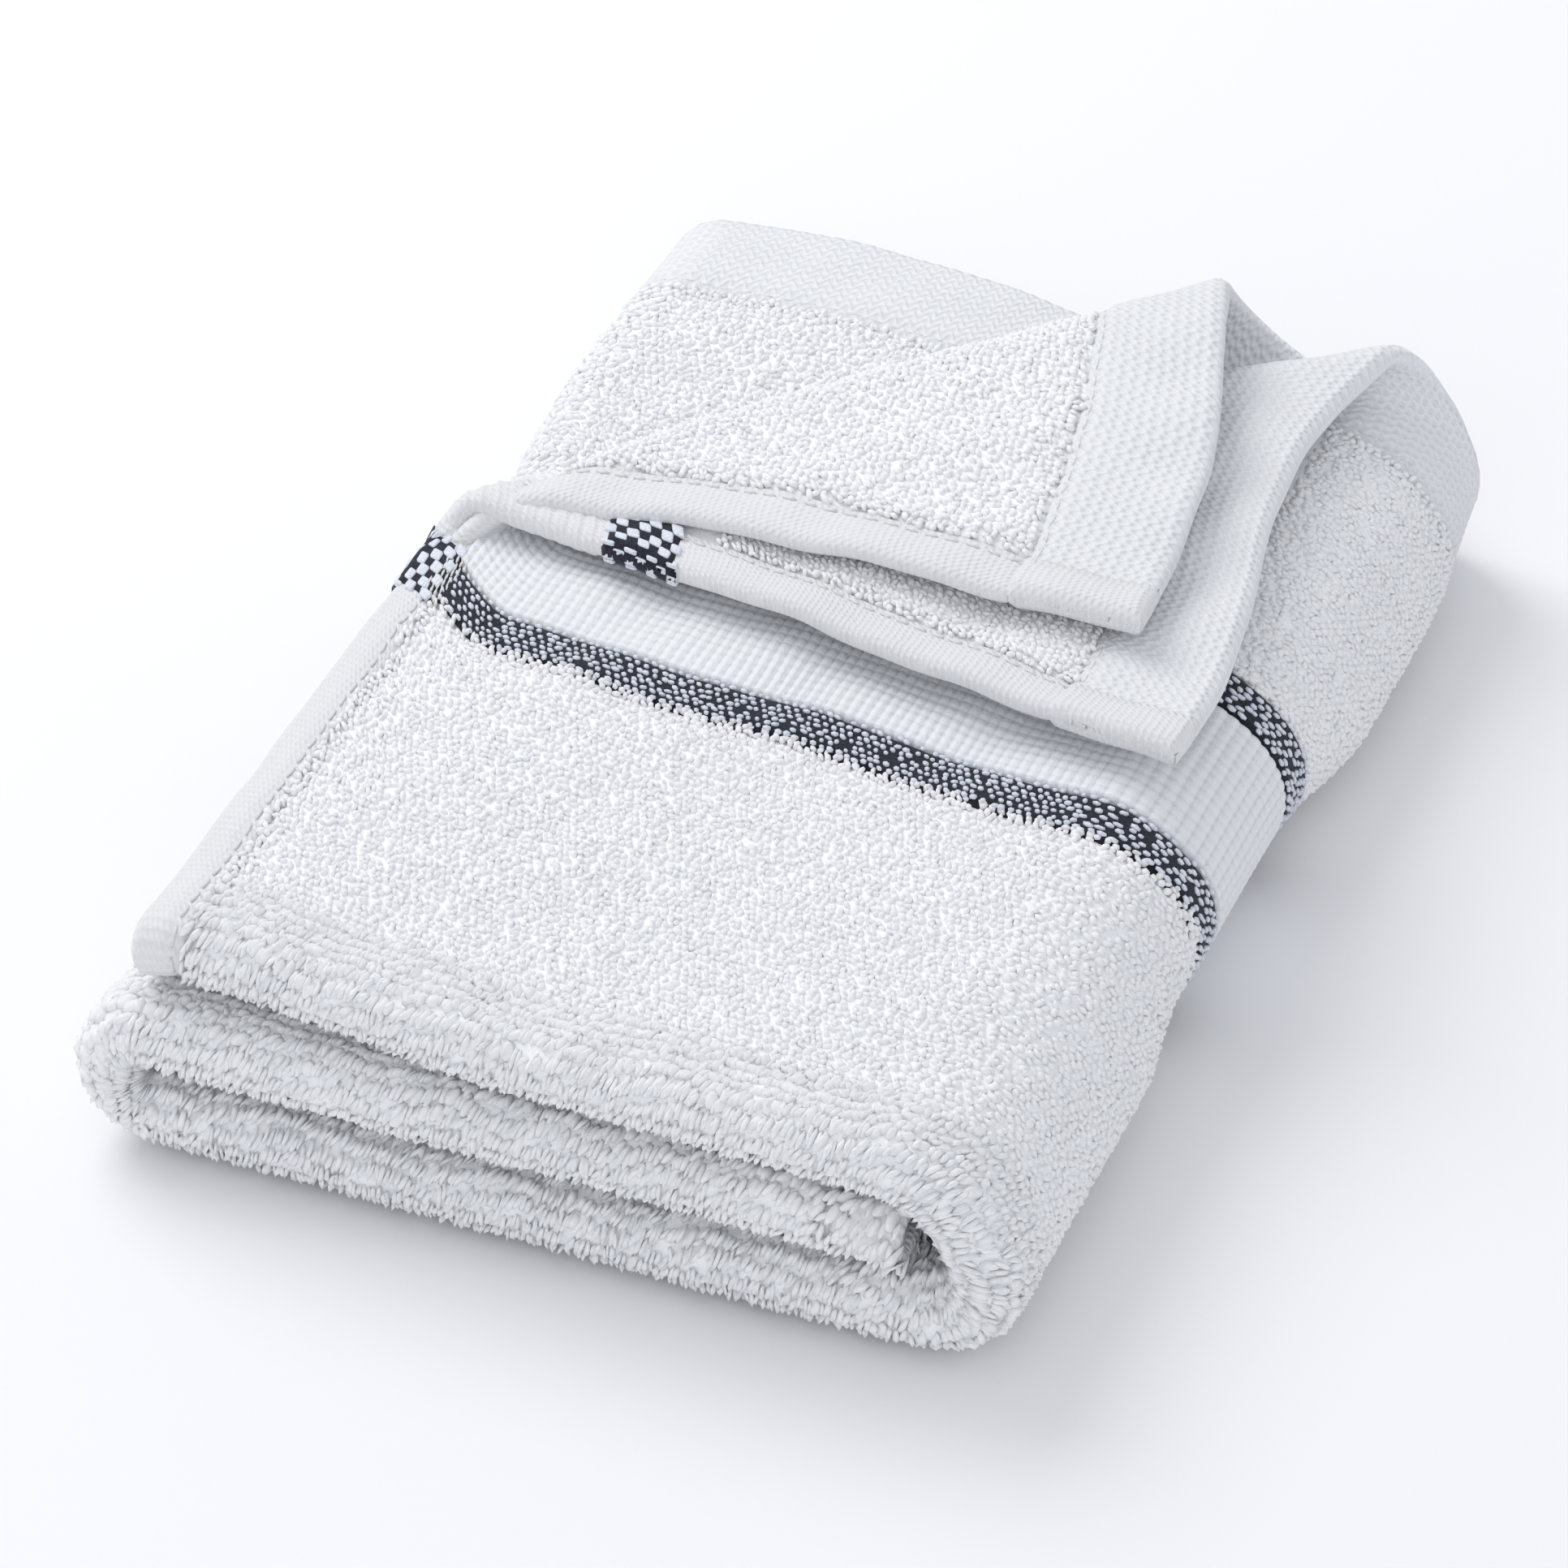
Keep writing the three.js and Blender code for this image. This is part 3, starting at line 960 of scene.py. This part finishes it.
def add_loops():
    """Loops on what ends up outside, and on the faces that the turned corner shows."""
    main_end = SIDE_RUN + FRONT_RUN + 0.012
    right_split = U_RIGHT + RIGHT_RUN * 0.3
    inner_end, outer_end = LENGTH - FAR_STRIPE, FAR_STRIPE
    return [
        add_pile("pile_top_flap", U_TOP, WIDTH, 0, main_end, keep=shows_on_top),
        add_pile("pile_right_fold", U_RIGHT, U_TOP, 0, main_end),
        add_pile("pile_bottom", U_BOTTOM, U_RIGHT, 0, main_end, pitch=HIDDEN_LOOP_PITCH),
        add_pile("pile_left_fold", U_LEFT, U_BOTTOM, 0, main_end),
        add_pile("pile_inner_flap", 0, U_LEFT, 0, main_end, keep=shows_on_inner_flap),
        add_pile("pile_turned_inner", U_TOP, WIDTH, inner_end, LENGTH, keep=turned_inner_shows),
        add_pile("pile_turned_outer", U_TOP, WIDTH, 0, outer_end, face=-1, keep=turned_outer_shows),
        add_combed_pile("front_fold_pile_top", right_split, WIDTH - SIDE_HEM),
        add_combed_pile("front_fold_pile_bottom", U_BOTTOM, right_split),
        add_combed_pile("front_fold_pile_inner", 0.0, U_BOTTOM),
    ]


def add_sewing():
    """One row of stitches along each hem."""
    down = np.arange(END_HEM, LENGTH - END_HEM, STITCH_PITCH)
    across_it = np.arange(0.002, WIDTH - 0.002, STITCH_PITCH)
    top_u = np.full_like(down, WIDTH - SIDE_HEM + STITCH_INSET)
    flap_u = np.full_like(down, SIDE_HEM - STITCH_INSET)
    outer_v = np.full_like(across_it, END_HEM - STITCH_INSET)
    inner_v = np.full_like(across_it, LENGTH - END_HEM + STITCH_INSET)
    return [
        add_stitches("stitches_top_flap_hem", top_u, down, False),
        add_stitches("stitches_inner_flap_hem", flap_u, down, False),
        add_stitches("stitches_outer_end", across_it, outer_v, True),
        add_stitches("stitches_inner_end", across_it, inner_v, True),
    ]


def add_towel():
    """Every piece of the towel; the frame's own parts are then hidden."""
    cloth = add_cloth()
    mates = add_hems()
    mates += add_bands("outer", lambda distance: distance, 0.00039)
    mates += add_bands("inner", lambda distance: LENGTH - INNER_EXTRA - distance, 0.0016)
    mates += add_loops()
    mates += add_sewing()
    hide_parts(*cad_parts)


# ---------------------------------------------------------------- floor, light and camera

def add_floor():
    """A plain pale floor just under the towel."""
    bpy.ops.object.select_all(action="DESELECT")
    bpy.ops.mesh.primitive_plane_add(size=6, location=(0, 0, FLOOR - 0.0005))
    floor = bpy.context.object
    floor.name = "floor"
    material = bpy.data.materials.new("pale_floor")
    material.use_nodes = True
    surface = material.node_tree.nodes["Principled BSDF"]
    surface.inputs["Base Color"].default_value = (0.93, 0.93, 0.94, 1)
    surface.inputs["Roughness"].default_value = 0.9
    floor.data.materials.append(material)


def add_light(name, place, size, power, colour):
    """A round soft lamp that points at the towel."""
    lamp = bpy.data.lights.new(name, "AREA")
    lamp.shape = "DISK"
    lamp.size = size
    lamp.energy = power
    lamp.color = colour
    holder = bpy.data.objects.new(name, lamp)
    holder.location = place
    aim = Vector((0, 0, 0.02)) - Vector(place)
    holder.rotation_euler = aim.to_track_quat("-Z", "Y").to_euler()
    bpy.context.scene.collection.objects.link(holder)


def add_lights():
    """An even pale studio, a soft key from behind on the left and a weak fill from the front."""
    world = bpy.data.worlds.new("studio")
    world.use_nodes = True
    sky = world.node_tree.nodes["Background"]
    sky.inputs["Color"].default_value = (0.93, 0.95, 1.0, 1)
    sky.inputs["Strength"].default_value = 0.70
    bpy.context.scene.world = world
    add_light("key", (-0.75, 0.35, 1.0), 0.9, 7.8, (1.0, 0.99, 0.97))
    add_light("fill", (0.3, -1.1, 0.7), 1.0, 2.2, (0.96, 0.98, 1.0))
    bpy.context.scene.view_settings.view_transform = "Standard"


def add_camera():
    """Seen from the front right and above, with a long lens."""
    azimuth, elevation = math.radians(22.39), math.radians(36.14)
    distance, shift_right, shift_up = 0.863, -0.0063, 0.0048
    back = Vector((
        math.sin(azimuth) * math.cos(elevation),
        -math.cos(azimuth) * math.cos(elevation),
        math.sin(elevation),
    ))
    right = Vector((math.cos(azimuth), math.sin(azimuth), 0))
    up = back.cross(right)
    lens = bpy.data.cameras.new("camera")
    lens.sensor_width = 36
    lens.lens = 138.816
    lens.clip_start = 0.01
    holder = bpy.data.objects.new("camera", lens)
    turn = Matrix((right, up, back)).transposed().to_4x4()
    holder.matrix_world = Matrix.Translation(back * distance + right * shift_right + up * shift_up) @ turn
    bpy.context.scene.collection.objects.link(holder)
    bpy.context.scene.camera = holder


add_camera()
add_lights()
add_floor()
add_towel()
